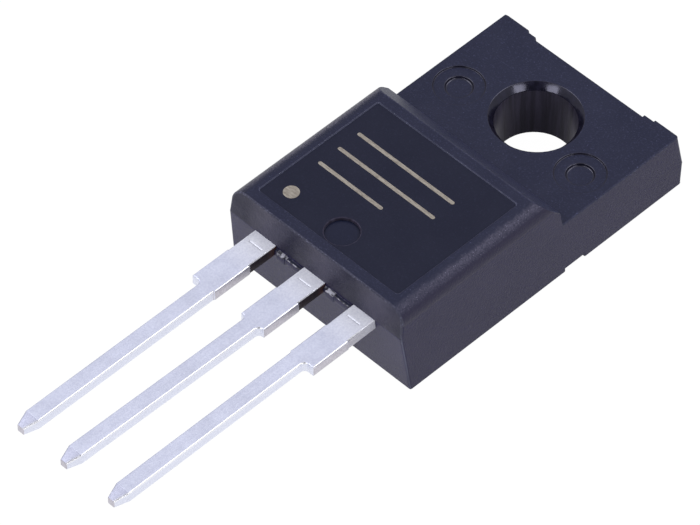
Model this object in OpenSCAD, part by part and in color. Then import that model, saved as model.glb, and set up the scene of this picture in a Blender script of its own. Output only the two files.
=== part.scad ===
// Three-lead power transistor in a fully moulded package with a screw hole in its tab.
// The origin is on the axis of the screw hole, in the flat back face.
// X runs across the body, +Y towards the end of the tab and +Z towards the marked face.
// Lengths along Y are given as distances from the axis of the screw hole.

/* [Moulded body] */
// Width across the back face
body_w = 10.04; // [9.6:0.02:10.8]
// Thickness from the back face to the marked face
body_t = 4.55; // [4.4:0.05:5]
// Distance of the lead-side face, at its parting line
face_y = 12.6; // [12.4:0.05:13.4]
// How far the lead-side face leans back between the parting line and the back face
face_low_draft = 0.36; // [0:0.02:0.4]
// How far the lead-side face leans back between the parting line and the marked face
face_top_draft = 0.17; // [0:0.01:0.3]
// How far inside the back face's edge the rounded top edge of each long side begins
shoulder_in = 1.02; // [0.94:0.01:1.1]
// Radius of the rounded long top edges
shoulder_r = 0.8; // [0.4:0.02:0.92]

/* [Tab] */
// Thickness of the tab
tab_t = 2.75; // [2.5:0.05:3]
// Distance of the tab's end, at its parting line
tab_end_y = 3.55; // [3:0.05:4.5]
// Height of the parting line round the tab
tab_part_z = 1.1; // [0.6:0.05:1.6]
// How far the tab's end leans back above its parting line
tab_top_draft = 0.28; // [0:0.02:0.4]
// How far the tab's end leans back below its parting line
tab_low_draft = 0.13; // [0:0.01:0.3]
// Distance of the foot of the wall between tab and thick part
step_y = 3.5; // [3.2:0.05:3.6]
// How far the wall leans back between its foot and the bevel above it
step_lean = 0.12; // [0:0.02:0.2]
// Height of the bevel between the wall and the marked face
step_bevel_h = 1.03; // [0.6:0.01:1.2]
// Length of the bevel along Y
step_bevel_y = 1.03; // [0.6:0.01:1.2]
// Half the width of the shallow recess in the tab's end
recess_half_w = 3.05; // [2:0.05:4]
// Depth of the recess in the tab's end
recess_depth = 0.22; // [0.05:0.01:0.4]
// Width of the small step at each end of the recess
recess_step_w = 0.5; // [0.1:0.05:0.7]
// Distance of the near end of the notch under each side
notch_y = 2.3; // [1.5:0.1:3]
// Length of the notch under each side
notch_len = 1.1; // [0.4:0.1:2]
// Height of the notch under each side
notch_h = 0.17; // [0.05:0.01:0.4]
// Width of the notch under each side
notch_w = 0.5; // [0.2:0.05:0.9]

/* [Screw hole] */
// Diameter of the screw hole
hole_d = 3.45; // [2.8:0.05:3.8]
// Width of the conical rim round the screw hole
rim_w = 0.245; // [0.05:0.005:0.5]
// Depth of the conical rim
rim_depth = 0.31; // [0.05:0.01:0.8]

/* [Surface marks] */
// Width of the shallow marking field
field_w = 7.8; // [5:0.1:8.2]
// Distance of the field's edge that lies nearer the screw hole
field_near_y = 5.15; // [5.1:0.05:7]
// Length of the marking field along Y
field_len = 6.72; // [4:0.02:6.8]
// Depth of the marking field
field_depth = 0.06; // [0.02:0.005:0.08]
// Corner radius of the marking field
field_r = 0.15; // [0.05:0.05:0.5]
// Radius of the pin mark in the marking field
body_mark_r = 0.72; // [0.3:0.02:0.8]
// Distance of the centre of the pin mark in the marking field
body_mark_y = 11.05; // [9:0.05:11.1]
// Depth of the pin mark below the marked face
body_mark_depth = 0.2; // [0.1:0.01:0.3]
// Distance of the two tab marks from the middle of the body
tab_mark_x = 3.4; // [3.2:0.05:3.6]
// Distance of the two tab marks along Y
tab_mark_y = 0.98; // [0:0.02:1.5]
// Radius of the outer ring of a tab mark
tab_mark_r = 1.08; // [0.7:0.02:1.1]
// Depth of the outer ring of a tab mark
tab_mark_depth = 0.08; // [0.02:0.01:0.15]
// Radius of the well inside a tab mark
well_r = 0.58; // [0.3:0.02:0.66]
// Depth of the well below the face of the tab
well_depth = 0.2; // [0.16:0.01:0.3]

/* [Leads] */
// Spacing of the three pins
pitch = 2.54; // [2.3:0.01:2.7]
// Height of the underside of the leads above the back face
lead_z = 2.64; // [2.5:0.01:2.8]
// Thickness of the leads
lead_t = 0.5; // [0.4:0.01:0.6]
// How far the wide part of each outer lead sits outward of its pin
wide_shift = 0.22; // [0:0.01:0.26]
// Width of the root, where a lead leaves the body
root_w = 1.2; // [0.9:0.02:1.3]
// Extra width on each side of a lead beyond the cut-off tie bar
bar_extra = 0.035; // [0:0.005:0.08]
// Width of the pins
pin_w = 0.74; // [0.6:0.02:0.86]
// Distance of the place where the tie bar was cut off
bar_y = 14.05; // [13.9:0.05:14.6]
// Distance of the shoulder, where the wide part ends
shoulder_y = 16; // [15.2:0.1:17]
// Length of the pins beyond the shoulder
pin_len = 10; // [6:0.1:12]
// Radius of the inner corners at the shoulder
shoulder_fillet = 0.2; // [0.05:0.01:0.25]
// Length of the tapered tip
tip_len = 0.65; // [0.3:0.05:1]
// Width of the cut end of the tip
tip_w = 0.34; // [0.2:0.02:0.5]
// How far the top of the tip is bevelled down
tip_drop = 0.14; // [0.02:0.02:0.24]
// Distance of the pressed groove across each root from the body
groove_off = 0.55; // [0.3:0.05:0.8]
// Length of the pressed groove across the lead
groove_len = 0.66; // [0.2:0.02:0.9]
// Width of the pressed groove
groove_w = 0.12; // [0.06:0.02:0.3]
// Depth of the pressed groove
groove_depth = 0.03; // [0.02:0.01:0.1]

/* [Resin between the leads] */
// How far the thin web of resin stands out between two leads
web_out = 0.12; // [0.05:0.01:0.3]
// Height of the web
web_h = 0.36; // [0.1:0.02:0.38]
// Distance of the thicker lump in each web from the lead on its left
lump_off = 0.2; // [0:0.02:0.3]
// Width of the lump
lump_w = 0.46; // [0.2:0.02:0.6]
// How far the lump stands out
lump_out = 0.22; // [0.1:0.01:0.4]
// Height of the lump
lump_h = 0.42; // [0.2:0.02:0.46]

/* [Inside] */
// Thickness of the copper heat spreader
pad_t = 1.3; // [0.8:0.05:1.4]
// Thickness of resin between the spreader and the back face
pad_cover = 0.55; // [0.3:0.05:0.6]
// Width of the heat spreader
pad_w = 8; // [6:0.1:8.6]
// Distance of the spreader's edge nearer the screw hole
pad_near_y = 2.6; // [2.4:0.05:3]
// Distance of the spreader's edge nearer the leads
pad_far_y = 11.1; // [10.6:0.05:11.2]
// Corner radius of the heat spreader
pad_r = 0.5; // [0.1:0.05:1]
// Length of flat lead inside the body before the middle lead bends down
neck_start = 0.35; // [0.2:0.05:0.5]
// Length of the bond post of each outer lead, inside the body
post_len = 1.2; // [0.9:0.05:1.3]
// Width of the bond posts
post_w = 1.9; // [1.4:0.05:2]
// Length of the narrow stretch between the body's face and a bond post
post_neck = 0.4; // [0.2:0.05:0.5]
// Width of the silicon die
die_w = 4.2; // [3:0.1:5]
// Length of the silicon die
die_l = 3.4; // [2.6:0.1:4]
// Thickness of the silicon die
die_t = 0.28; // [0.2:0.01:0.35]
// Distance of the middle of the die
die_y = 7.3; // [6.8:0.1:7.6]
// Thickness of the solder under the die
solder_t = 0.06; // [0.03:0.01:0.1]
// How far the solder runs out past the die
solder_out = 0.12; // [0.05:0.01:0.3]
// Diameter of the gate bond wire
gate_wire_d = 0.125; // [0.1:0.005:0.2]
// Diameter of each source bond wire
source_wire_d = 0.38; // [0.2:0.01:0.4]
// Number of source bond wires
source_wires = 2; // [1:1:2]
// Spacing of the source bond wires
source_wire_gap = 0.75; // [0.6:0.05:0.8]
// Height of a wire's bow above the straight line between its ends
wire_bow = 0.75; // [0.5:0.05:0.85]
// Length of a wire's flattened foot
foot_len = 0.55; // [0.4:0.05:0.7]

/* [Hidden] */
$fn = 48;
// Overshoot of a cutting shape past the face that it cuts
past = 0.5;
lead_top = lead_z + lead_t;
// The parting line of the thick part runs level with the top of the leads
part_z = lead_top;
hole_r = hole_d / 2;
tip_y = shoulder_y + pin_len;
wide_w = root_w + 2 * bar_extra;
pad_top = pad_cover + pad_t;
die_z = pad_top + solder_t;
die_top = die_z + die_t;
// A bond wire's foot is pressed flat to this share of the wire's diameter
foot_press = 0.7;
// and spreads to this share of it across
foot_spread = 1.4;
post_mid_y = face_y - post_len + (post_len - post_neck) / 2;
outer_x = pitch + wide_shift;

// Direction of the point where a line from point p touches the circle at c with radius r
function touch_angle(c, p, r) = atan2(p.y - c.y, p.x - c.x) + acos(r / norm(p - c));

// A rectangle with rounded corners, from the low corner a to the high corner b
module rounded_rect(a, b, r) {
    translate([a.x + r, a.y]) square([b.x - a.x - 2 * r, b.y - a.y]);
    translate([a.x, a.y + r]) square([b.x - a.x, b.y - a.y - 2 * r]);
    for (x = [a.x + r, b.x - r], y = [a.y + r, b.y - r])
        translate([x, y]) circle(r = r);
}

// Stands a drawing of (Y, Z) points up and extrudes it along X
module along_x(x0, x1) {
    translate([x0, 0, 0]) rotate([90, 0, 90]) linear_extrude(x1 - x0) children();
}

// Section across the body, drawn as (X, Z)
module cross_section() {
    edge = [body_w / 2, 0];
    centre = [body_w / 2 - shoulder_in, body_t - shoulder_r];
    turn = touch_angle(centre, edge, shoulder_r);
    touch = centre + shoulder_r * [cos(turn), sin(turn)];
    for (side = [0, 1]) mirror([side, 0]) {
        polygon([[0, 0], edge, touch, centre, [centre.x, body_t], [0, body_t]]);
        translate(centre) circle(r = shoulder_r);
    }
}

// Outline seen from the side, drawn as (Y, Z), with the tab's end at end_y
module side_outline(end_y) {
    wall_top_y = -step_y - step_lean;
    polygon([
        [face_low_draft - face_y, 0],
        [-face_y, part_z],
        [face_top_draft - face_y, body_t],
        [wall_top_y - step_bevel_y, body_t],
        [wall_top_y, body_t - step_bevel_h],
        [-step_y, tab_t],
        [end_y - tab_top_draft, tab_t],
        [end_y, tab_part_z],
        [end_y - tab_low_draft, 0]
    ]);
}

// The body's outer form, before anything is cut out of it
module body_block() {
    intersection() {
        translate([0, tab_end_y, 0]) rotate([90, 0, 0])
            linear_extrude(tab_end_y + face_y) cross_section();
        union() {
            along_x(-body_w / 2, body_w / 2) side_outline(tab_end_y - recess_depth);
            for (side = [0, 1]) mirror([side, 0, 0]) {
                along_x(recess_half_w, body_w / 2) side_outline(tab_end_y - recess_depth / 2);
                along_x(recess_half_w + recess_step_w, body_w / 2) side_outline(tab_end_y);
            }
        }
    }
}

// Thin resin left between two leads, with a thicker lump near the left one
module resin_web(x0, x1) {
    depth = face_low_draft + 0.1;
    translate([x0, -face_y - web_out, lead_z]) cube([x1 - x0, web_out + depth, web_h]);
    translate([x0 + lump_off, -face_y - lump_out, lead_z]) cube([lump_w, lump_out + depth, lump_h]);
}

// The screw hole and its conical rim
module screw_hole() {
    translate([0, 0, -past]) cylinder(h = body_t + 2 * past, r = hole_r);
    translate([0, 0, tab_t - rim_depth]) cylinder(h = rim_depth, r1 = hole_r, r2 = hole_r + rim_w);
}

// The shallow field for the marking and the pin mark in it
module marking_field() {
    translate([0, 0, body_t - field_depth]) linear_extrude(past)
        rounded_rect([-field_w / 2, -field_near_y - field_len], [field_w / 2, -field_near_y], field_r);
    translate([0, -body_mark_y, body_t - body_mark_depth]) cylinder(h = past, r = body_mark_r);
}

// A pin mark in the face of the tab: a shallow ring with a deeper well
module tab_mark() {
    translate([0, 0, tab_t - tab_mark_depth]) cylinder(h = past, r = tab_mark_r);
    translate([0, 0, tab_t - well_depth]) cylinder(h = past, r = well_r);
}

// The small notch under one long side
module side_notch() {
    translate([body_w / 2 - notch_w, -notch_y - notch_len, -past])
        cube([notch_w + past, notch_len, notch_h + past]);
}

module moulded_body() {
    color([0.16, 0.16, 0.20]) difference() {
        union() {
            body_block();
            resin_web(root_w / 2, outer_x - root_w / 2);
            resin_web(root_w / 2 - outer_x, -root_w / 2);
        }
        screw_hole();
        marking_field();
        for (side = [0, 1]) mirror([side, 0, 0]) {
            translate([tab_mark_x, -tab_mark_y, 0]) tab_mark();
            side_notch();
        }
        drain_frame();
        gate_lead();
        source_lead();
        die_solder();
        silicon_die();
        gate_wire();
        source_wire_1();
        source_wire_2();
    }
}

// Fills an inner corner at the origin, between +X and -Y, with a concave round
module corner_fill(r) {
    difference() {
        translate([0, -r]) square(r);
        translate([r, -r]) circle(r = r);
    }
}

// A lead's outline outside the body, with its pin at X = 0 and its wide part moved by shift
module lead_outline(shift) {
    translate([shift - root_w / 2, -bar_y]) square([root_w, bar_y - face_y]);
    translate([shift - wide_w / 2, -shoulder_y]) square([wide_w, shoulder_y - bar_y]);
    polygon([
        [-pin_w / 2, -shoulder_y],
        [-pin_w / 2, tip_len - tip_y],
        [-tip_w / 2, -tip_y],
        [tip_w / 2, -tip_y],
        [pin_w / 2, tip_len - tip_y],
        [pin_w / 2, -shoulder_y]
    ]);
    for (side = [-1, 1]) {
        ledge = wide_w / 2 + side * shift - pin_w / 2;
        translate([side * pin_w / 2, -shoulder_y]) mirror([side < 0 ? 1 : 0, 0])
            corner_fill(min(shoulder_fillet, ledge));
    }
}

// The part of a lead outside the body: flat strip, bevelled tip and pressed groove
module outer_lead(shift) {
    difference() {
        translate([0, 0, lead_z]) linear_extrude(lead_t) lead_outline(shift);
        along_x(-pin_w, pin_w) polygon([
            [-tip_y - past, lead_top - tip_drop],
            [-tip_y, lead_top - tip_drop],
            [tip_len - tip_y, lead_top],
            [tip_len - tip_y, lead_top + past],
            [-tip_y - past, lead_top + past]
        ]);
        along_x(shift - groove_len / 2, shift + groove_len / 2) polygon([
            [-face_y - groove_off - groove_w / 2, lead_top + 0.01],
            [-face_y - groove_off, lead_top - groove_depth],
            [-face_y - groove_off + groove_w / 2, lead_top + 0.01]
        ]);
    }
}

// The end of an outer lead inside the body, where its bond wires land
module bond_post(shift) {
    translate([shift, 0, lead_z]) linear_extrude(lead_t) {
        translate([-root_w / 2, -face_y]) square([root_w, post_neck + 0.1]);
        translate([-post_w / 2, post_neck - face_y]) square([post_w, post_len - post_neck]);
    }
}

module gate_lead() {
    color([0.80, 0.81, 0.86]) translate([-pitch, 0, 0]) {
        outer_lead(-wide_shift);
        bond_post(-wide_shift);
    }
}

module source_lead() {
    color([0.80, 0.81, 0.86]) translate([pitch, 0, 0]) {
        outer_lead(wide_shift);
        bond_post(wide_shift);
    }
}

// The heat spreader and the middle lead are one piece of copper
module drain_frame() {
    color([0.80, 0.55, 0.40]) {
        outer_lead(0);
        along_x(-root_w / 2, root_w / 2) polygon([
            [-face_y, lead_top],
            [neck_start - face_y, lead_top],
            [-pad_far_y, pad_top],
            [pad_r - pad_far_y, pad_top],
            [pad_r - pad_far_y, pad_top - lead_t],
            [-pad_far_y, pad_top - lead_t],
            [neck_start - face_y, lead_z],
            [-face_y, lead_z]
        ]);
        translate([0, 0, pad_cover]) linear_extrude(pad_t)
            rounded_rect([-pad_w / 2, -pad_far_y], [pad_w / 2, -pad_near_y], pad_r);
    }
}

module die_solder() {
    w = die_w + 2 * solder_out;
    l = die_l + 2 * solder_out;
    color([0.62, 0.63, 0.65]) translate([-w / 2, -die_y - l / 2, pad_top]) cube([w, l, solder_t]);
}

module silicon_die() {
    color([0.35, 0.37, 0.42]) translate([-die_w / 2, -die_y - die_l / 2, die_z])
        cube([die_w, die_l, die_t]);
}

// A bond wire with a flat foot at each end, bowed up between the points a and b
module bond_wire(a, b, d) {
    foot_h = d * foot_press;
    run = norm([b.x - a.x, b.y - a.y]);
    rise = b.z - a.z;
    chord = norm([run, rise]);
    radius = (chord * chord / 4 + wire_bow * wire_bow) / (2 * wire_bow);
    half = asin(chord / (2 * radius));
    tilt = atan2(rise, run);
    centre = [run / 2 + (radius - wire_bow) * sin(tilt), rise / 2 - (radius - wire_bow) * cos(tilt)];
    translate(a) rotate([0, 0, atan2(b.y - a.y, b.x - a.x)]) {
        translate([centre.x, 0, centre.y + d / 2]) rotate([90, 0, 0])
            rotate([0, 0, 90 + tilt - half]) rotate_extrude(angle = 2 * half)
                translate([radius, 0]) circle(d = d);
        for (end = [[0, 0], [run, rise]])
            translate([end.x - foot_len / 2, -d * foot_spread / 2, end.y])
                cube([foot_len, d * foot_spread, foot_h]);
    }
}

module gate_wire() {
    color([0.83, 0.84, 0.86]) bond_wire(
        [-die_w / 4, -die_y - die_l / 3, die_top], [-outer_x, -post_mid_y, lead_top], gate_wire_d);
}

// One of the side-by-side source wires, counted from the middle of the body outward
module source_wire(index) {
    offset_x = (index - (source_wires - 1) / 2) * source_wire_gap;
    color([0.83, 0.84, 0.86]) bond_wire(
        [die_w / 4 + offset_x, -die_y, die_top], [outer_x + offset_x, -post_mid_y, lead_top],
        source_wire_d);
}

module source_wire_1() {
    source_wire(0);
}

module source_wire_2() {
    source_wire(1);
}

moulded_body();
drain_frame();
gate_lead();
source_lead();
die_solder();
silicon_die();
gate_wire();
source_wire_1();
source_wire_2();
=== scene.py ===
"""Looks of a three-lead power transistor in a fully moulded package with a screw hole in its tab.

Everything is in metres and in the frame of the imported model: the origin is on the axis of the screw
hole in the flat back face, X runs across the body, -Y along the leads and +Z to the marked face.
"""

import math

import bmesh
import bpy
from mathutils import Matrix, Vector


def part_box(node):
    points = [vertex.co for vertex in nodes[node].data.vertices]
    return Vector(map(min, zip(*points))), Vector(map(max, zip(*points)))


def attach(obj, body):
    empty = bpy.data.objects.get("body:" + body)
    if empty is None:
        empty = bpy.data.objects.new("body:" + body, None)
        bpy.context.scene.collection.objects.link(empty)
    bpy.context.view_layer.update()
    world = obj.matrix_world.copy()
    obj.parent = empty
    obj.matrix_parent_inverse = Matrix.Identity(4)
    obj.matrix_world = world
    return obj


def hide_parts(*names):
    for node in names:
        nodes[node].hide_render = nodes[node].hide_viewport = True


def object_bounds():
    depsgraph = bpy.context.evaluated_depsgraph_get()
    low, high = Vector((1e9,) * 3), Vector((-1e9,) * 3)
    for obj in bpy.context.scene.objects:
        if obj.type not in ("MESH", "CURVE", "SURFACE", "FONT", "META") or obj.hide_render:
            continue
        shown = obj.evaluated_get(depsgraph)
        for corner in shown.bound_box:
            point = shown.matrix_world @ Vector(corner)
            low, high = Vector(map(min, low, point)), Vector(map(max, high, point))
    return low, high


MM = 0.001

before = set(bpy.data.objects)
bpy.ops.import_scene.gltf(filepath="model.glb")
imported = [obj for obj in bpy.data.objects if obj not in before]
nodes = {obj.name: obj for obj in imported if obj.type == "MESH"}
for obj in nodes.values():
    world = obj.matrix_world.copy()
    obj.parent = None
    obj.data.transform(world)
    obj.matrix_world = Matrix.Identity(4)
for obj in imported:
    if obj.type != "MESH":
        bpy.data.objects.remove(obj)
cad_lo, cad_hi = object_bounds()

# Where the main surfaces lie: the first four as the frame has them, the rest as in the part's source
lead_lo, lead_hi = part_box("gate_lead")
FACE_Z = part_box("moulded_body")[1].z
LEAD_TOP = lead_hi.z
LEAD_BOTTOM = lead_lo.z
TIP_Y = lead_lo.y
TIP_LEN = 0.65 * MM
LEAD_PITCH = 2.54 * MM
LEAD_FACE_Y = -12.6 * MM
CUT_END_Y = -14.05 * MM
TAB_FACE_Z = 2.75 * MM
HOLE_R = 1.725 * MM
RIM_R = 1.97 * MM
STEP_FOOT_Y = -3.5 * MM
BEVEL_LOW_Y = -3.62 * MM
BEVEL_LOW_Z = 3.52 * MM
BEVEL_TOP_Y = -4.65 * MM
FIELD_X = 3.9 * MM
FIELD_NEAR_Y = -5.15 * MM
FIELD_FAR_Y = -11.87 * MM
FIELD_DEPTH = 0.06 * MM
CASE_MARK_Y = -11.05 * MM
CASE_MARK_R = 0.72 * MM
TAB_MARK_X = 3.4 * MM
TAB_MARK_Y = -0.98 * MM
TAB_MARK_R = 1.08 * MM
WELL_R = 0.58 * MM


# Nodes that the materials share

def new_material(name):
    """An empty node material; returns it with its node tree and its main shader."""
    material = bpy.data.materials.new(name)
    material.use_nodes = True
    tree = material.node_tree
    tree.nodes.clear()
    output = tree.nodes.new("ShaderNodeOutputMaterial")
    shader = tree.nodes.new("ShaderNodeBsdfPrincipled")
    tree.links.new(shader.outputs["BSDF"], output.inputs["Surface"])
    return material, tree, shader


def coordinates(tree, scale=(1, 1, 1)):
    """Places on the object in millimetres, stretched by scale."""
    place = tree.nodes.new("ShaderNodeTexCoord")
    mapping = tree.nodes.new("ShaderNodeMapping")
    mapping.inputs["Scale"].default_value = [s / MM for s in scale]
    tree.links.new(place.outputs["Object"], mapping.inputs["Vector"])
    return mapping.outputs["Vector"]


def math_node(tree, operation, a, b):
    """Sum, product or another operation on two values, each a number or a socket."""
    node = tree.nodes.new("ShaderNodeMath")
    node.operation = operation
    for socket, value in zip(node.inputs, (a, b)):
        if isinstance(value, (int, float)):
            socket.default_value = value
        else:
            tree.links.new(value, socket)
    return node.outputs["Value"]


def axis(tree, vector, name):
    """One part of a vector: X, Y or Z."""
    split = tree.nodes.new("ShaderNodeSeparateXYZ")
    tree.links.new(vector, split.inputs["Vector"])
    return split.outputs[name]


def rising(tree, place, name, start, slope):
    """A value that is 0 at start, in millimetres, and rises by slope for each one along an axis."""
    past_start = math_node(tree, "ADD", axis(tree, place, name), -start)
    return math_node(tree, "MULTIPLY", past_start, slope)


def weighted(tree, a, share, b):
    """That share of value a, and the rest of value b."""
    return math_node(tree, "ADD", math_node(tree, "MULTIPLY", a, share),
                     math_node(tree, "MULTIPLY", b, 1 - share))


def ramp(tree, fac, stops):
    """Maps a value through (position, level) stops."""
    node = tree.nodes.new("ShaderNodeValToRGB")
    elements = node.color_ramp.elements
    while len(elements) < len(stops):
        elements.new(0.5)
    for element, (position, level) in zip(elements, stops):
        element.position = position
        element.color = (level, level, level, 1)
    tree.links.new(fac, node.inputs["Fac"])
    return node.outputs["Color"]


def mix(tree, fac, a, b):
    """Colour a where fac is 0 and colour b where it is 1."""
    node = tree.nodes.new("ShaderNodeMix")
    node.data_type = "RGBA"
    colours = [s for s in node.inputs if s.type == "RGBA"]
    tree.links.new(fac, node.inputs[0])
    for socket, value in zip(colours, (a, b)):
        if isinstance(value, tuple):
            socket.default_value = (*value, 1)
        else:
            tree.links.new(value, socket)
    return next(s for s in node.outputs if s.type == "RGBA")


def noise(tree, vector, scale, detail=3.0, roughness=0.5):
    """Soft random grain; scale is in grains per millimetre."""
    node = tree.nodes.new("ShaderNodeTexNoise")
    node.inputs["Scale"].default_value = scale
    node.inputs["Detail"].default_value = detail
    node.inputs["Roughness"].default_value = roughness
    tree.links.new(vector, node.inputs["Vector"])
    return node.outputs["Fac"]


def sand_grain(tree, place):
    """The fine sandy grain of moulding resin."""
    return noise(tree, place, 13.0, 3, 0.6)


def speckle(tree, vector, share):
    """1 inside scattered small dots and 0 elsewhere; share is the part of the cells that hold one."""
    dots_per_mm, dot_size = 14.0, 0.2
    cells = tree.nodes.new("ShaderNodeTexVoronoi")
    cells.inputs["Scale"].default_value = dots_per_mm
    tree.links.new(vector, cells.inputs["Vector"])
    split = tree.nodes.new("ShaderNodeSeparateColor")
    tree.links.new(cells.outputs["Color"], split.inputs["Color"])
    chosen = math_node(tree, "LESS_THAN", split.outputs["Red"], share)
    dot = ramp(tree, cells.outputs["Distance"], [(0.0, 1.0), (dot_size, 0.0)])
    return math_node(tree, "MULTIPLY", chosen, dot)


def finish(tree, shader, colour, shine, relief, height):
    """Gives the shader its colour, its roughness and a fine relief of that height in millimetres."""
    tree.links.new(colour, shader.inputs["Base Color"])
    tree.links.new(shine, shader.inputs["Roughness"])
    bump = tree.nodes.new("ShaderNodeBump")
    bump.inputs["Strength"].default_value = 1.0
    bump.inputs["Distance"].default_value = height * MM
    tree.links.new(relief, bump.inputs["Height"])
    tree.links.new(bump.outputs["Normal"], shader.inputs["Normal"])


def resin_gloss(shader, level):
    """How strongly resin mirrors the light, with a faint violet cast."""
    shader.inputs["Specular IOR Level"].default_value = level
    shader.inputs["Specular Tint"].default_value = (0.85, 0.84, 1.0, 1)


# Materials

def resin(name, dark, light, rough, grain, dust=0.3, painted_sparkle=0.0, specular=0.3):
    """Dark moulding resin: two shades in soft clouds, a fine sandy grain, pale filler specks and
    painted glints.
    """
    material, tree, shader = new_material(name)
    place = coordinates(tree)
    clouds = noise(tree, place, 0.6, 4)
    sand = sand_grain(tree, place)
    base = mix(tree, ramp(tree, clouds, [(0.3, 0.0), (0.7, 1.0)]), dark, light)
    pale = tuple(3 * c + 0.01 for c in light)
    dusty = mix(tree, ramp(tree, sand, [(0.55, 0.0), (0.75, dust)]), base, pale)
    # Scattered bright dots: painted glints, light caught by the grain.
    painted_glint = tuple(min(1.0, 9 * c + 0.06) for c in light)
    colour = mix(tree, speckle(tree, place, painted_sparkle), dusty, painted_glint)
    shine = ramp(tree, sand, [(0.3, rough - 0.06), (0.7, rough + 0.06)])
    resin_gloss(shader, specular)
    finish(tree, shader, colour, shine, sand, grain)
    return material


def shoulder_resin(name):
    """Resin of the rounded shoulders: a painted highlight with painted glints where they lean, less so
    by the leads.
    """
    material, tree, shader = new_material(name)
    place = coordinates(tree)
    sand = sand_grain(tree, place)
    geometry = tree.nodes.new("ShaderNodeNewGeometry")
    wander = math_node(tree, "MULTIPLY", noise(tree, place, 2.0, 4, 0.7), 0.16)
    up = math_node(tree, "ADD", axis(tree, geometry.outputs["Normal"], "Z"), wander)
    up = math_node(tree, "ADD", up, -0.08)
    # Painted highlight: lighter where the face leans towards the light, fading towards the leads.
    leaning = ramp(tree, up, [(0.58, 0.0), (0.82, 1.0), (0.90, 1.0), (0.97, 0.0)])
    to_tab = ramp(tree, rising(tree, place, "Y", -13.0, 0.1), [(0.05, 0.62), (0.35, 1.0)])
    painted_highlight = math_node(tree, "MULTIPLY", leaning, to_tab)
    # Steeper parts take a lighter violet colour: a painted tint of the light they reflect.
    plain = mix(tree, ramp(tree, up, [(0.62, 0.0), (0.92, 1.0)]),
                (0.024, 0.021, 0.043), (0.014, 0.016, 0.036))
    # Pale colour of the painted highlight, speckled by the grain.
    pale = mix(tree, ramp(tree, sand, [(0.35, 0.0), (0.7, 1.0)]),
               (0.026, 0.025, 0.043), (0.085, 0.080, 0.115))
    painted_glints = math_node(tree, "MULTIPLY", speckle(tree, place, 0.45), painted_highlight)
    colour = mix(tree, painted_glints, mix(tree, painted_highlight, plain, pale), (0.55, 0.53, 0.70))
    resin_gloss(shader, 0.3)
    finish(tree, shader, colour, ramp(tree, sand, [(0.3, 0.32), (0.7, 0.42)]), sand, 0.026)
    return material


def front_resin(name):
    """Resin over the leads with painted light and shade: paler in soft patches at about the leads'
    spacing.
    """
    material, tree, shader = new_material(name)
    place = coordinates(tree)
    sand = sand_grain(tree, place)
    # Painted reflections of the leads' bright tops, with painted shade between them, broken up by
    # clouds.
    patch_x, patch_pitch = -2.72, 3.05
    turn = rising(tree, place, "X", patch_x, 2 * math.pi / patch_pitch)
    painted_lead_reflection = math_node(tree, "MULTIPLY", math_node(tree, "COSINE", turn, 0), 0.30)
    clouds = math_node(tree, "MULTIPLY", noise(tree, place, 1.6, 4, 0.6), 0.8)
    patches = math_node(tree, "ADD", math_node(tree, "ADD", painted_lead_reflection, clouds), 0.1)
    base = mix(tree, ramp(tree, patches, [(0.15, 0.0), (0.85, 1.0)]),
               (0.013, 0.0125, 0.032), (0.066, 0.061, 0.089))
    dusty = mix(tree, ramp(tree, sand, [(0.55, 0.0), (0.75, 0.3)]), base, (0.09, 0.085, 0.12))
    resin_gloss(shader, 0.3)
    finish(tree, shader, dusty, ramp(tree, sand, [(0.3, 0.36), (0.7, 0.48)]), sand, 0.022)
    return material


def polished(name, colour, rough, specular):
    """Resin moulded against a polished pin: glossy, with faint lines along the pin."""
    material, tree, shader = new_material(name)
    lines = noise(tree, coordinates(tree, (5.0, 5.0, 0.25)), 1.0, 4, 0.6)
    light = tuple(1.8 * c for c in colour)
    shade = mix(tree, ramp(tree, lines, [(0.4, 0.0), (0.65, 1.0)]), colour, light)
    shine = ramp(tree, lines, [(0.35, rough - 0.03), (0.65, rough + 0.05)])
    resin_gloss(shader, specular)
    finish(tree, shader, shade, shine, lines, 0.003)
    return material


def thin_flash(name, level):
    """Flash between the leads: a thin glossy resin skin with pale spots that are painted highlights."""
    material, tree, shader = new_material(name)
    spots = noise(tree, coordinates(tree), 5.0, 3, 0.6)
    # Pale spots: painted highlights on the flash.
    pale = ramp(tree, spots, [(level, 0.0), (level + 0.1, 1.0)])
    colour = mix(tree, pale, (0.025, 0.024, 0.036), (0.50, 0.49, 0.54))
    shader.inputs["Specular IOR Level"].default_value = 0.6
    finish(tree, shader, colour, ramp(tree, spots, [(0.3, 0.35), (0.7, 0.22)]), spots, 0.02)
    return material


def tin(name, dull, bright, rough):
    """Tin plating: pale satin metal with a fine grain and faint drawn lines, more matt and whiter by
    the body, the whiteness painted light.
    """
    material, tree, shader = new_material(name)
    place = coordinates(tree)
    lines = noise(tree, coordinates(tree, (7.0, 0.3, 7.0)), 1.0, 4, 0.6)
    clouds = noise(tree, place, 1.1, 4, 0.6)
    grain = noise(tree, place, 12.0, 3, 0.6)
    wear = weighted(tree, lines, 0.35, clouds)
    fine = ramp(tree, weighted(tree, wear, 0.4, grain), [(0.38, 0.0), (0.62, 1.0)])
    shade = mix(tree, fine, dull, bright)
    # Towards the body: less metallic and whiter, a painted brightening that keeps the tops there as
    # light as farther out.
    brightened_shade = mix(tree, fine, (0.86, 0.86, 0.89), (1.0, 1.0, 1.0))
    by_body = ramp(tree, rising(tree, place, "Y", -14.6, 0.6), [(0.0, 0.0), (1.0, 1.0)])
    matt_brightening = math_node(tree, "MULTIPLY", by_body, 0.8)
    tree.links.new(math_node(tree, "SUBTRACT", 1.0, matt_brightening), shader.inputs["Metallic"])
    shine = ramp(tree, wear, [(0.35, rough - 0.05), (0.65, rough + 0.05)])
    finish(tree, shader, mix(tree, matt_brightening, shade, brightened_shade), shine, grain, 0.003)
    return material


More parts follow.
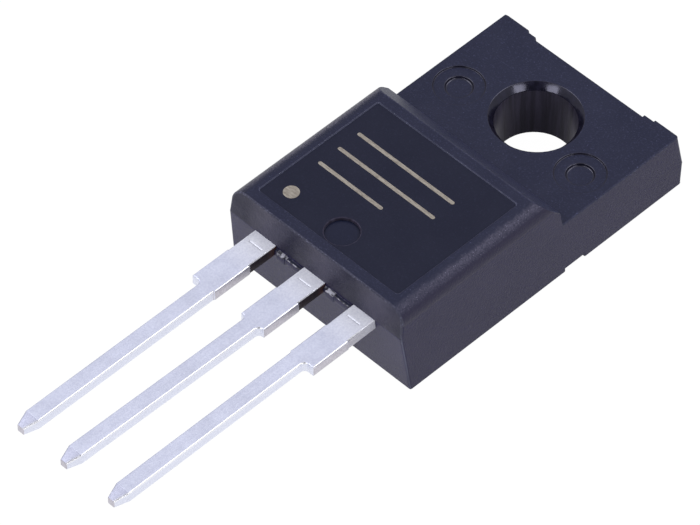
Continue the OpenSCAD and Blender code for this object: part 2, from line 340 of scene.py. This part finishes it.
def bare_cut(name):
    """Metal laid bare where the tie bar was cut: dark, turning to bare copper close to the body."""
    material, tree, shader = new_material(name)
    place = coordinates(tree)
    shear = noise(tree, coordinates(tree, (1.0, 9.0, 0.6)), 1.0, 4)
    patches = ramp(tree, noise(tree, place, 2.2, 3), [(0.3, 0.5), (0.6, 1.0)])
    to_body = rising(tree, place, "Y", -13.05, 1.6)
    copper = ramp(tree, math_node(tree, "MULTIPLY", to_body, patches), [(0.0, 0.0), (0.8, 1.0)])
    # The cut faces are dark, varied along the shear.
    dark_cut_metal = mix(tree, shear, (0.012, 0.009, 0.012), (0.040, 0.028, 0.034))
    colour = mix(tree, copper, dark_cut_metal, (0.17, 0.080, 0.070))
    shader.inputs["Metallic"].default_value = 0.25
    shader.inputs["Specular IOR Level"].default_value = 0.3
    finish(tree, shader, colour, ramp(tree, shear, [(0.3, 0.45), (0.7, 0.65)]), shear, 0.02)
    return material


def plain_metal(name, colour, rough, stretch):
    """An inner metal part: one metal colour broken up by fine lines."""
    material, tree, shader = new_material(name)
    lines = noise(tree, coordinates(tree, stretch), 6.0, 4)
    dull = tuple(0.8 * c for c in colour)
    shine = ramp(tree, lines, [(0.3, rough - 0.06), (0.7, rough + 0.08)])
    shader.inputs["Metallic"].default_value = 1.0
    finish(tree, shader, mix(tree, lines, dull, colour), shine, lines, 0.006)
    return material


def die_surface(name):
    """Silicon: dark and glossy with a faint colour play."""
    material, tree, shader = new_material(name)
    cells = noise(tree, coordinates(tree), 3.0, 3)
    colour = mix(tree, cells, (0.05, 0.055, 0.07), (0.10, 0.10, 0.14))
    finish(tree, shader, colour, ramp(tree, cells, [(0.3, 0.12), (0.7, 0.22)]), cells, 0.002)
    return material


def laser_mark(name):
    """Resin turned beige by a laser, in fine hatched lines."""
    material, tree, shader = new_material(name)
    hatch = noise(tree, coordinates(tree, (2.0, 12.0, 1.0)), 1.6, 3)
    grain = noise(tree, coordinates(tree), 8.0, 3)
    beige = mix(tree, ramp(tree, grain, [(0.3, 0.0), (0.7, 1.0)]),
                (0.20, 0.17, 0.13), (0.33, 0.29, 0.23))
    colour = mix(tree, ramp(tree, hatch, [(0.4, 0.0), (0.7, 1.0)]), beige, (0.40, 0.36, 0.29))
    finish(tree, shader, colour, ramp(tree, grain, [(0.3, 0.6), (0.7, 0.8)]), grain, 0.01)
    return material


CASE = resin("resin_case", (0.0135, 0.0155, 0.035), (0.018, 0.020, 0.041), rough=0.40,
             grain=0.018, dust=0.5, painted_sparkle=0.03)
FIELD = resin("resin_field", (0.006, 0.0075, 0.020), (0.009, 0.0105, 0.024), rough=0.38,
              grain=0.005, dust=0.2)
# Side faces: a bluer copy of the case resin, a painted tint of the cool light they reflect.
SIDE = resin("resin_side", (0.013, 0.0105, 0.039), (0.018, 0.015, 0.046), rough=0.42,
             grain=0.026, painted_sparkle=0.02, specular=0.25)
# Lower lead end and the flash sides: a lighter, bluer copy of the case resin, painted light from the
# pale floor it faces.
END = resin("resin_end", (0.018, 0.015, 0.056), (0.024, 0.0205, 0.064), rough=0.42,
            grain=0.022, painted_sparkle=0.03)
# Resin over the leads: painted reflections of the leads.
FRONT = front_resin("resin_front_painted_reflections")
# Shoulders: resin with a painted highlight and painted glints.
EDGE = shoulder_resin("resin_shoulder_painted_highlight")
# Rear bevel: a bluer copy of the case resin with more painted glints, a painted tint of the light it
# reflects.
REAR = resin("resin_rear", (0.0145, 0.017, 0.044), (0.020, 0.0225, 0.052), rough=0.44,
             grain=0.018, dust=0.5, painted_sparkle=0.15, specular=0.24)
# Crest of the rear bevel and the tab's long top edges: a lighter resin with many painted glints, a
# painted highlight line.
REAR_CREST_HIGHLIGHT = resin("resin_rear_crest_painted_highlight", (0.020, 0.022, 0.046), (0.032, 0.034, 0.062), rough=0.45,
                   grain=0.020, dust=0.6, painted_sparkle=0.3)
# Rounded edges at the lead end: a lighter resin with pale filler specks and many painted glints, a
# painted highlight.
PAINTED_EDGE_HIGHLIGHT = resin("resin_painted_edge_highlight", (0.036, 0.036, 0.056), (0.060, 0.060, 0.085), rough=0.45,
             grain=0.020, dust=0.8, painted_sparkle=0.5)
# Field border and small rounded faces at the lead end: a lighter resin with painted glints, a painted
# highlight line.
BORDER = resin("resin_border_painted_highlight", (0.050, 0.053, 0.085), (0.090, 0.094, 0.140), rough=0.45,
               grain=0.006, dust=0.5, painted_sparkle=0.3)
SUNK = resin("resin_sunk", (0.007, 0.009, 0.024), (0.010, 0.012, 0.029), rough=0.34,
             grain=0.004, dust=0.2)
# Flash and lumps between the leads: pale spots that are painted highlights, more of them on the lumps.
FLASH = thin_flash("resin_flash", 0.50)
LUMP = thin_flash("resin_lump", 0.45)
BORE = polished("resin_bore", (0.032, 0.0285, 0.043), rough=0.30, specular=0.04)
RIM = polished("resin_rim", (0.007, 0.0065, 0.0135), rough=0.14, specular=0.75)
TIN = tin("tin_plating", (0.73, 0.75, 0.86), (0.85, 0.87, 0.96), rough=0.53)
# Tip faces leaning towards -Y: a darker copy of the tin, painted shade.
TIN_TIP = tin("tin_tip_painted_shade", (0.50, 0.51, 0.60), (0.61, 0.62, 0.71), rough=0.53)
TIN_SIDE = tin("tin_sheared_side", (0.50, 0.48, 0.53), (0.66, 0.64, 0.70), rough=0.48)
# Top edges facing +X: glossier and whiter tin, the whiteness a painted highlight on the lit side.
TIN_EDGE = tin("tin_glossy_edge_painted_highlight", (0.92, 0.92, 0.96), (1.0, 1.0, 1.0), rough=0.24)
CUT = bare_cut("bare_cut_metal")
MARK = laser_mark("laser_mark")
SOLDER = plain_metal("solder_surface", (0.62, 0.63, 0.66), 0.35, (1, 1, 1))
SILICON = die_surface("silicon_surface")
WIRE = plain_metal("wire_surface", (0.83, 0.84, 0.86), 0.3, (6, 1, 6))
CASE_SKIN = [CASE, FIELD, SIDE, END, FRONT, EDGE, REAR, REAR_CREST_HIGHLIGHT, PAINTED_EDGE_HIGHLIGHT, BORDER, SUNK, FLASH,
             LUMP, BORE, RIM]
LEAD_SKIN = [TIN, TIN_TIP, TIN_SIDE, TIN_EDGE, CUT]
INNER_SKIN = {"die_solder": SOLDER, "silicon_die": SILICON, "gate_wire": WIRE,
              "source_wire_1": WIRE, "source_wire_2": WIRE}


# Rounded copies of the CAD pieces

ROUND_MAX = 0.3 * MM
SHARP_ANGLE = math.radians(40)
FLAT_ANGLE = math.radians(0.3)

# How far the edges at each place are rounded, in millimetres
ROUND = {
    "plain": 0.06,
    "screw_hole": 0.02,
    "case_mark": 0.05,
    "field": 0.028,
    "tab_ring": 0.03,
    "well_top": 0.045,
    "well_foot": 0.07,
    "flash": 0.05,
    "lead_exit": 0.02,
    "tab_corner": 0.18,
    "tab_notch": 0.03,
    "shoulder_end": 0.05,
    "lead": 0.025,
    "lead_top": 0.065,
    "lead_groove": 0.012,
    "lead_tip": 0.03,
}


def new_piece(name, mesh):
    """A linked object that holds the mesh."""
    data = bpy.data.meshes.new(name)
    mesh.to_mesh(data)
    mesh.free()
    piece = bpy.data.objects.new(name, data)
    bpy.context.scene.collection.objects.link(piece)
    return piece


def bake(piece):
    """Gives the piece the mesh that its modifiers make of it."""
    graph = bpy.context.evaluated_depsgraph_get()
    old = piece.data
    new = bpy.data.meshes.new_from_object(piece.evaluated_get(graph))
    piece.modifiers.clear()
    piece.data = new
    bpy.data.meshes.remove(old)


def weighted_copy(node, radius_of, change):
    """A changed copy of a CAD node's mesh, whose edge weights say how far each edge is rounded."""
    mesh = bmesh.new()
    mesh.from_mesh(nodes[node].data)
    bmesh.ops.remove_doubles(mesh, verts=mesh.verts, dist=1e-8)
    bmesh.ops.dissolve_limit(mesh, angle_limit=FLAT_ANGLE, verts=mesh.verts, edges=mesh.edges)
    change(mesh)
    mesh.normal_update()
    weight = mesh.edges.layers.float.new("bevel_weight_edge")
    for edge in mesh.edges:
        edge[weight] = radius_of(edge) * MM / ROUND_MAX
    for face in mesh.faces:
        face.smooth = True
    return mesh


def round_edges(piece):
    """Rounds the edges by their weights."""
    bevel = piece.modifiers.new("round", "BEVEL")
    bevel.limit_method = "WEIGHT"
    bevel.width = ROUND_MAX
    bevel.segments = 3
    bevel.use_clamp_overlap = False
    bake(piece)


def smooth(piece):
    """Smooth shading that keeps the large faces flat and the sharp edges sharp."""
    piece.data.set_sharp_from_angle(angle=SHARP_ANGLE)
    flat = piece.modifiers.new("flat faces", "WEIGHTED_NORMAL")
    flat.keep_sharp = True
    flat.weight = 100
    bake(piece)


def rounded_copy(name, node, skin, radius_of, material_of, change):
    """A copy of a CAD node with rounded edges and a material for each face, in place of the node."""
    piece = new_piece(name, weighted_copy(node, radius_of, change))
    round_edges(piece)
    smooth(piece)
    piece.data.name = name
    for material in skin:
        piece.data.materials.append(material)
    for face in piece.data.polygons:
        face.material_index = skin.index(material_of(face))
    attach(piece, "root")
    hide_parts(node)


def middle(edge):
    return (edge.verts[0].co + edge.verts[1].co) / 2


def face_angle(edge):
    """Angle between an edge's two faces in degrees."""
    return abs(math.degrees(edge.calc_face_angle_signed(0)))


def near(a, b, reach=0.02 * MM):
    return abs(a - b) < reach


def within(value, limits):
    return limits[0] < value < limits[1]


def to_hole(p):
    """Distance of a point from the axis of the screw hole."""
    return math.hypot(p.x, p.y)


def to_tab_mark(p):
    """Distance of a point from the axis of the nearer round mark on the tab."""
    return math.hypot(abs(p.x) - TAB_MARK_X, p.y - TAB_MARK_Y)


def to_case_mark(p):
    """Distance of a point from the axis of the round mark in the marking field."""
    return math.hypot(p.x, p.y - CASE_MARK_Y)


def at_field(p, margin):
    """True for a point in the marking field, or up to margin outside it."""
    over = abs(p.x) < FIELD_X + margin and FIELD_FAR_Y - margin < p.y < FIELD_NEAR_Y + margin
    return over and p.z > FIELD_BELOW_Z


# Places on the moulded body, by which its edges and faces are told apart
FIELD_BELOW_Z = FACE_Z - 0.3 * MM
SHOULDER_X = 3.9 * MM
SIDE_X = 4.5 * MM
TAB_END_Y = 3 * MM
TAB_NOTCH_X = (3 * MM, 3.6 * MM)
LEAD_END_Y = -12 * MM
LEAD_END_CORNER_Y = -12.3 * MM
LEAD_EXIT_X = 3.6 * MM
LEAD_EXIT_Y = -12.54 * MM
LEAD_EXIT_Z = (LEAD_BOTTOM - 0.1 * MM, LEAD_TOP + 0.05 * MM)
LUMPS_X = ((-2.05 * MM, -1.4 * MM), (0.7 * MM, 1.25 * MM))
HOLLOW_X = (-3.99 * MM, 3.99 * MM)
HOLLOW_Y = (-12.55 * MM, -2.4 * MM)
HOLLOW_Z = (0.5 * MM, FACE_Z - 0.2 * MM)
STEP_Y = (-5 * MM, STEP_FOOT_Y)
STEP_CREASES = (
    (STEP_FOOT_Y, TAB_FACE_Z, 0.08),
    (BEVEL_LOW_Y, BEVEL_LOW_Z, 0.12),
    (BEVEL_TOP_Y, FACE_Z, 0.05),
)


def in_hollow(p):
    """True for a point on the walls of the hollows that hold the inner pieces."""
    return within(p.x, HOLLOW_X) and within(p.y, HOLLOW_Y) and within(p.z, HOLLOW_Z)


def tab_mark_radius(p):
    """The rounding of a tab mark's edges: its ring, and the top and foot of its well."""
    if to_tab_mark(p) > WELL_R + 0.12 * MM:
        return ROUND["tab_ring"]
    return ROUND["well_top"] if p.z > TAB_FACE_Z - 0.15 * MM else ROUND["well_foot"]


def lead_end_radius(p, upright):
    """The rounding of the edges at the lead end, which grows from the marked face downwards."""
    if p.y < LEAD_FACE_Y - 0.01 * MM:
        return ROUND["flash"]
    if p.y < LEAD_EXIT_Y and abs(p.x) < LEAD_EXIT_X and within(p.z, LEAD_EXIT_Z):
        return ROUND["lead_exit"]
    if upright or p.z > LEAD_EXIT_Z[1]:
        return ROUND["plain"] + 0.05 * min(1, (FACE_Z - p.z) / (0.8 * MM))
    return ROUND["plain"]


def tab_end_radius(p, upright):
    """The rounding of the edges at the end of the tab."""
    if upright and abs(p.x) > SIDE_X:
        return ROUND["tab_corner"]
    return ROUND["tab_notch"] if within(abs(p.x), TAB_NOTCH_X) else ROUND["plain"]


def case_radius(edge):
    """How far an edge of the moulded body is rounded."""
    p = middle(edge)
    run = edge.verts[0].co - edge.verts[1].co
    upright = abs(run.z) > 0.7 * run.length
    across = abs(run.x) > 0.98 * run.length
    if face_angle(edge) < 12:
        return 0
    for y, z, radius in STEP_CREASES:
        if across and near(p.y, y) and near(p.z, z):
            return radius
    if in_hollow(p):
        return 0
    if to_hole(p) < RIM_R + 0.13 * MM:
        return ROUND["screw_hole"]
    if to_case_mark(p) < CASE_MARK_R + 0.03 * MM:
        return ROUND["case_mark"]
    if at_field(p, 0.05 * MM):
        return ROUND["field"]
    if to_tab_mark(p) < TAB_MARK_R + 0.04 * MM and near(p.z, TAB_FACE_Z, 0.6 * MM):
        return tab_mark_radius(p)
    if p.y < LEAD_END_Y:
        return lead_end_radius(p, upright)
    if p.y > TAB_END_Y:
        return tab_end_radius(p, upright)
    if within(p.y, STEP_Y) and abs(p.x) > SHOULDER_X and p.z > TAB_FACE_Z + 0.05 * MM:
        return ROUND["shoulder_end"]
    return ROUND["plain"]


def mark_material(p, n):
    """The material of a face of the screw hole or a round mark, None elsewhere."""
    if to_hole(p) < HOLE_R + 0.03 * MM and abs(n.z) < 0.3:
        return BORE
    if to_hole(p) < RIM_R + 0.025 * MM and abs(n.z) < 0.93 and p.z > 2.3 * MM:
        return RIM
    if to_tab_mark(p) < TAB_MARK_R + 0.05 * MM and abs(n.z) < 0.97 and 2.4 * MM < p.z <= TAB_FACE_Z:
        return RIM
    if to_case_mark(p) < CASE_MARK_R + 0.06 * MM and abs(n.z) < 0.97 and p.z > FIELD_BELOW_Z:
        return BORE
    if to_case_mark(p) < CASE_MARK_R + 0.03 * MM and FIELD_BELOW_Z < p.z < FACE_Z - 0.1 * MM:
        return SUNK
    return None


def field_material(p, n):
    """The material of a face of the marking field or its rounded border, None elsewhere."""
    if not at_field(p, 0.02 * MM):
        return None
    if p.z < FACE_Z - 0.95 * FIELD_DEPTH:
        return FIELD
    # The rounded border takes the lighter resin: a painted highlight line.
    return BORDER if n.z < 0.995 and not at_field(p, -0.07 * MM) else None


def flash_material(p, n):
    """The material of an upper face of the flash between the leads, None elsewhere."""
    if p.y > LEAD_FACE_Y - 0.02 * MM or n.z < 0.1:
        return None
    if any(within(p.x, limits) for limits in LUMPS_X):
        return LUMP
    return FLASH if n.z < 0.95 else CASE


def lead_end_material(p, n, area):
    """The material of a face at the body's lead end, None elsewhere."""
    leans_out = 0.12 < n.z < 0.97 and n.y < -0.1
    turns_out = 0.2 < abs(n.x) < 0.95 and 0.2 < -n.y < 0.95
    large = area > 0.5 * MM * MM
    # Small rounded faces here take painted highlights; large ones the painted lead reflections above or
    # the painted floor light below.
    if p.y < LEAD_END_CORNER_Y and p.z > 0.1 * MM and (leans_out or turns_out):
        if large:
            return FRONT if n.z > 0 else END
        return BORDER if abs(n.x) > 0.2 and p.z < LEAD_TOP else PAINTED_EDGE_HIGHLIGHT
    if p.y < LEAD_END_Y and abs(n.z) < 0.5 and n.y < -0.7:
        return FRONT if p.z > LEAD_TOP and n.z > 0 else END
    return END if p.y < LEAD_FACE_Y and abs(n.x) > 0.5 else None


def rear_material(p, n):
    """The material of the bevel behind the field, its crest and the tab's long edges, else None."""
    # The crest and the tab's long top edges take the painted highlight; the bevel the bluer painted
    # tint.
    if p.z > FACE_Z - 0.1 * MM and p.y > BEVEL_TOP_Y - 0.1 * MM and 0.1 < n.y < 0.6:
        return REAR_CREST_HIGHLIGHT
    if p.z > TAB_FACE_Z + 0.1 * MM and p.y > BEVEL_TOP_Y - 0.02 * MM and n.y > 0.3:
        return REAR
    if near(p.z, TAB_FACE_Z, 0.08 * MM) and abs(p.x) > SIDE_X and 0.2 < n.z < 0.97:
        return REAR_CREST_HIGHLIGHT
    return None


def case_material(face):
    """The material that a face of the moulded body shows."""
    p = face.center
    n = face.normal
    special = (mark_material(p, n) or field_material(p, n) or flash_material(p, n)
               or lead_end_material(p, n, face.area) or rear_material(p, n))
    if special:
        return special
    # Leaning faces of the shoulders take the painted highlight, side faces the bluer painted tint.
    over_side = abs(p.x) > SHOULDER_X and p.z > TAB_FACE_Z + 0.3 * MM
    if over_side and 0.1 < n.z < 0.99 and abs(n.y) < 0.4:
        return EDGE
    return SIDE if abs(n.x) > 0.8 else CASE


BORE_DRAFT = 0.07 * MM


def draft_bore(mesh):
    """The moulded screw hole narrows a little towards the back face."""
    for vert in mesh.verts:
        if vert.co.z < 0.01 * MM and to_hole(vert.co) < HOLE_R + 0.01 * MM:
            vert.co.x *= 1 - BORE_DRAFT / HOLE_R
            vert.co.y *= 1 - BORE_DRAFT / HOLE_R


# Places along the leads, by which their edges and faces are told apart
LEAD_INSIDE_Y = -12.45 * MM
LEAD_WIDE_END_Y = -16.05 * MM
LEAD_FACE_LOW_Z = LEAD_TOP - 0.2 * MM
GROOVE_Y = (-13.3 * MM, -13.0 * MM)
GROOVE_LOW_Z = LEAD_TOP - 0.1 * MM
MIDDLE_LEAD_X = 0.8 * MM
BEND_START_Y = -16.2 * MM
TIP_BEND = 0.11 * MM


def split_inside(mesh):
    """Cuts a lead's faces a little inside the body, where its bare and its rounded part end."""
    parts = list(mesh.verts) + list(mesh.edges) + list(mesh.faces)
    bmesh.ops.bisect_plane(mesh, geom=parts, plane_co=(0, LEAD_INSIDE_Y, 0), plane_no=(0, 1, 0))


def bend_middle_pin(mesh):
    """The middle pin is bent a little towards -X, most at its tip."""
    split_inside(mesh)
    for vert in mesh.verts:
        if vert.co.y < BEND_START_Y:
            vert.co.x -= TIP_BEND * (BEND_START_Y - vert.co.y) / (BEND_START_Y - TIP_Y)


def lead_radius(edge):
    """How far an edge of a lead is rounded; inside the body it stays sharp."""
    p = middle(edge)
    run = edge.verts[0].co - edge.verts[1].co
    shallow = 20 if abs(run.z) > 0.9 * run.length else 5
    if p.y > LEAD_INSIDE_Y - 0.001 * MM or face_angle(edge) < shallow:
        return 0
    at_groove = within(p.y, GROOVE_Y) and p.z > GROOVE_LOW_Z
    if at_groove and (abs(p.x) % LEAD_PITCH < 0.5 * MM or p.z < LEAD_TOP - 0.001 * MM):
        return ROUND["lead_groove"]
    if p.y < TIP_Y + 0.1 * MM:
        return ROUND["lead_tip"]
    across_tip = p.y < TIP_Y + 1.2 * MM and abs(run.x) >= 0.9 * run.length
    return ROUND["lead_top"] if p.z > LEAD_FACE_LOW_Z and not across_tip else ROUND["lead"]


def lead_material(face):
    """The material of a lead's face: tin, its sheared sides and edges, or the cut tie bars."""
    p = face.center
    n = face.normal
    towards_middle = n.x * p.x < 0 or abs(p.x) < MIDDLE_LEAD_X
    at_cut = CUT_END_Y - 0.01 * MM < p.y < LEAD_INSIDE_Y + 0.01 * MM
    on_side = abs(n.x) > 0.75 or (abs(n.y) > 0.7 and near(p.y, CUT_END_Y, 0.03 * MM))
    if at_cut and on_side and towards_middle and p.z < LEAD_TOP - 0.03 * MM:
        return CUT
    if p.y > LEAD_WIDE_END_Y and abs(n.x) > 0.75 or p.y < TIP_Y + 0.1 * MM and n.y < -0.5:
        return TIN_SIDE
    # Faces near the tip that lean towards -Y take the darker tin: painted shade.
    if p.y < TIP_Y + TIP_LEN and n.y < -0.12 and n.x < 0.15:
        return TIN_TIP
    # Only the top edges facing +X take the whiter tin: a painted highlight.
    return TIN_EDGE if n.x > 0.15 and n.z > 0.15 and p.z > LEAD_FACE_LOW_Z else TIN


rounded_copy("moulded_case", "moulded_body", CASE_SKIN, case_radius,
             case_material, draft_bore)
LEADS = {"gate_lead": split_inside, "source_lead": split_inside, "drain_frame": bend_middle_pin}
for lead, change in LEADS.items():
    rounded_copy(f"tinned_{lead}", lead, LEAD_SKIN, lead_radius, lead_material,
                 change)
for node_name, surface in INNER_SKIN.items():
    nodes[node_name].data.materials.clear()
    nodes[node_name].data.materials.append(surface)


# Laser marks: plain bars and an index dot, with no lettering

MARK_T = 0.006 * MM
BARS = [(-3.2, 2.0, -6.9), (-3.2, 2.0, -8.0), (-3.2, 0.2, -9.1)]
BAR_W = 0.17
DOT = (-2.9, -11.0, 0.34)


def round_bar(x0, x1, y, width):
    """Outline of a bar with round ends, in millimetres."""
    turns = [math.radians(a) for a in range(-90, 91, 15)]
    r = width / 2
    right = [(x1 + r * math.cos(a), y + r * math.sin(a)) for a in turns]
    left = [(x0 - r * math.cos(a), y - r * math.sin(a)) for a in turns]
    return right + left


def round_dot(x, y, r, corners=48):
    """Outline of a dot, in millimetres."""
    turns = [2 * math.pi * a / corners for a in range(corners)]
    return [(x + r * math.cos(a), y + r * math.sin(a)) for a in turns]


def add_plate(mesh, outline, low, high):
    """Adds a flat plate between two heights; its outline runs anticlockwise, in millimetres."""
    foot, lid = ([mesh.verts.new((x * MM, y * MM, z)) for x, y in outline] for z in (low, high))
    mesh.faces.new(foot[::-1])
    mesh.faces.new(lid)
    for i in range(len(outline)):
        mesh.faces.new((foot[i - 1], foot[i], lid[i], lid[i - 1]))


def index_marks():
    """Thin plates that stand a few micrometres proud of the marking field."""
    mesh = bmesh.new()
    field_z = FACE_Z - FIELD_DEPTH
    for outline in [round_bar(x0, x1, y, BAR_W) for x0, x1, y in BARS] + [round_dot(*DOT)]:
        add_plate(mesh, outline, field_z - MARK_T, field_z + MARK_T)
    piece = new_piece("index_marks", mesh)
    piece.data.materials.append(MARK)
    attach(piece, "root")


index_marks()


# Stage, light and camera

FLOOR_HALF = 1.5
FLOOR_Z = cad_lo.z - 0.02 * MM
COOL = (0.95, 0.96, 1.06)
CAMERA_SIDE = -45
CAMERA_PLACE = Vector((106.4903, -116.2478, 172.3820)) * MM
CAMERA_AIM = Vector((-1.1152, -9.5115, 0.5174)) * MM
CAMERA_ROLL = math.radians(-0.082)


def floor_material():
    """White to the camera and in reflections, with the part's shadow; clear from below."""
    material = bpy.data.materials.new("floor_white")
    material.use_nodes = True
    tree = material.node_tree
    tree.nodes.clear()
    output = tree.nodes.new("ShaderNodeOutputMaterial")
    diffuse = tree.nodes.new("ShaderNodeBsdfDiffuse")
    diffuse.inputs["Color"].default_value = (0.9, 0.9, 0.9, 1)
    white = tree.nodes.new("ShaderNodeEmission")
    white.inputs["Strength"].default_value = 1.03
    rays = tree.nodes.new("ShaderNodeLightPath")
    seen = math_node(tree, "MAXIMUM", rays.outputs["Is Camera Ray"], rays.outputs["Is Glossy Ray"])
    seen = math_node(tree, "MAXIMUM", seen, rays.outputs["Is Transmission Ray"])
    above = tree.nodes.new("ShaderNodeMixShader")
    tree.links.new(math_node(tree, "MULTIPLY", seen, 0.96), above.inputs["Fac"])
    tree.links.new(diffuse.outputs["BSDF"], above.inputs[1])
    tree.links.new(white.outputs["Emission"], above.inputs[2])
    sides = tree.nodes.new("ShaderNodeMixShader")
    clear = tree.nodes.new("ShaderNodeBsdfTransparent")
    geometry = tree.nodes.new("ShaderNodeNewGeometry")
    tree.links.new(geometry.outputs["Backfacing"], sides.inputs["Fac"])
    tree.links.new(above.outputs["Shader"], sides.inputs[1])
    tree.links.new(clear.outputs["BSDF"], sides.inputs[2])
    tree.links.new(sides.outputs["Shader"], output.inputs["Surface"])
    return material


def floor():
    """A pale floor under the part."""
    mesh = bmesh.new()
    corners = ((-1, -1), (1, -1), (1, 1), (-1, 1))
    mesh.faces.new([mesh.verts.new((x * FLOOR_HALF, y * FLOOR_HALF, FLOOR_Z)) for x, y in corners])
    piece = new_piece("floor", mesh)
    piece.data.materials.append(floor_material())


def aimed(azimuth, elevation):
    """Direction from the part: azimuth 0 is +X and 90 is +Y, in degrees."""
    a, e = math.radians(azimuth), math.radians(elevation)
    return Vector((math.cos(a) * math.cos(e), math.sin(a) * math.cos(e), math.sin(e)))


def soft_box(name, azimuth, elevation, width, height, radiance):
    """A rectangular lamp facing the part; radiance 1 is as bright as white."""
    distance = 0.4
    lamp = bpy.data.lights.new(name, "AREA")
    lamp.shape = "RECTANGLE"
    lamp.size = width
    lamp.size_y = height
    lamp.energy = radiance * math.pi * width * height
    lamp.color = COOL
    box = bpy.data.objects.new(name, lamp)
    box.location = aimed(azimuth, elevation) * distance
    box.rotation_euler = aimed(azimuth, elevation).to_track_quat("Z", "Y").to_euler()
    box.visible_camera = False
    bpy.context.scene.collection.objects.link(box)


def surround():
    """A pale cool room that is darkest behind the photographer."""
    world = bpy.data.worlds.new("studio")
    world.use_nodes = True
    tree = world.node_tree
    tree.nodes.clear()
    output = tree.nodes.new("ShaderNodeOutputWorld")
    background = tree.nodes.new("ShaderNodeBackground")
    place = tree.nodes.new("ShaderNodeTexCoord").outputs["Generated"]
    sky = ramp(tree, axis(tree, place, "Z"), [(0.0, 0.38), (0.35, 0.42), (0.7, 0.68), (1.0, 0.62)])
    facing = tree.nodes.new("ShaderNodeVectorMath")
    facing.operation = "DOT_PRODUCT"
    facing.inputs[1].default_value = aimed(CAMERA_SIDE, 22)
    tree.links.new(place, facing.inputs[0])
    room = ramp(tree, facing.outputs["Value"], [(0.72, 1.0), (0.92, 0.12)])
    level = math_node(tree, "MULTIPLY", sky, room)
    tree.links.new(mix(tree, level, (0.0, 0.0, 0.0), COOL), background.inputs["Color"])
    background.inputs["Strength"].default_value = 1.0
    tree.links.new(background.outputs["Background"], output.inputs["Surface"])
    bpy.context.scene.world = world


def studio_light():
    """The surround, and a large and a small soft box on each side of the camera."""
    surround()
    for side, way in (("right", 1), ("front", -1)):
        soft_box(f"box_{side}", CAMERA_SIDE + way * 101, 52, width=0.30, height=0.19, radiance=2.4)
        soft_box(f"strip_{side}", CAMERA_SIDE + way * 38, 26, width=0.16, height=0.12, radiance=3.6)


def photo_camera():
    """A long lens, looking down on the part over the lead-side right corner."""
    data = bpy.data.cameras.new("camera")
    data.sensor_width = 36
    data.lens = 294.237
    data.clip_start = 0.01
    data.clip_end = 10
    camera = bpy.data.objects.new("camera", data)
    camera.location = CAMERA_PLACE
    turn = (CAMERA_AIM - CAMERA_PLACE).to_track_quat("-Z", "Y").to_matrix()
    camera.rotation_euler = (turn @ Matrix.Rotation(CAMERA_ROLL, 3, "Z")).to_euler()
    bpy.context.scene.collection.objects.link(camera)
    bpy.context.scene.camera = camera


floor()
studio_light()
photo_camera()
bpy.context.scene.view_settings.view_transform = "Standard"
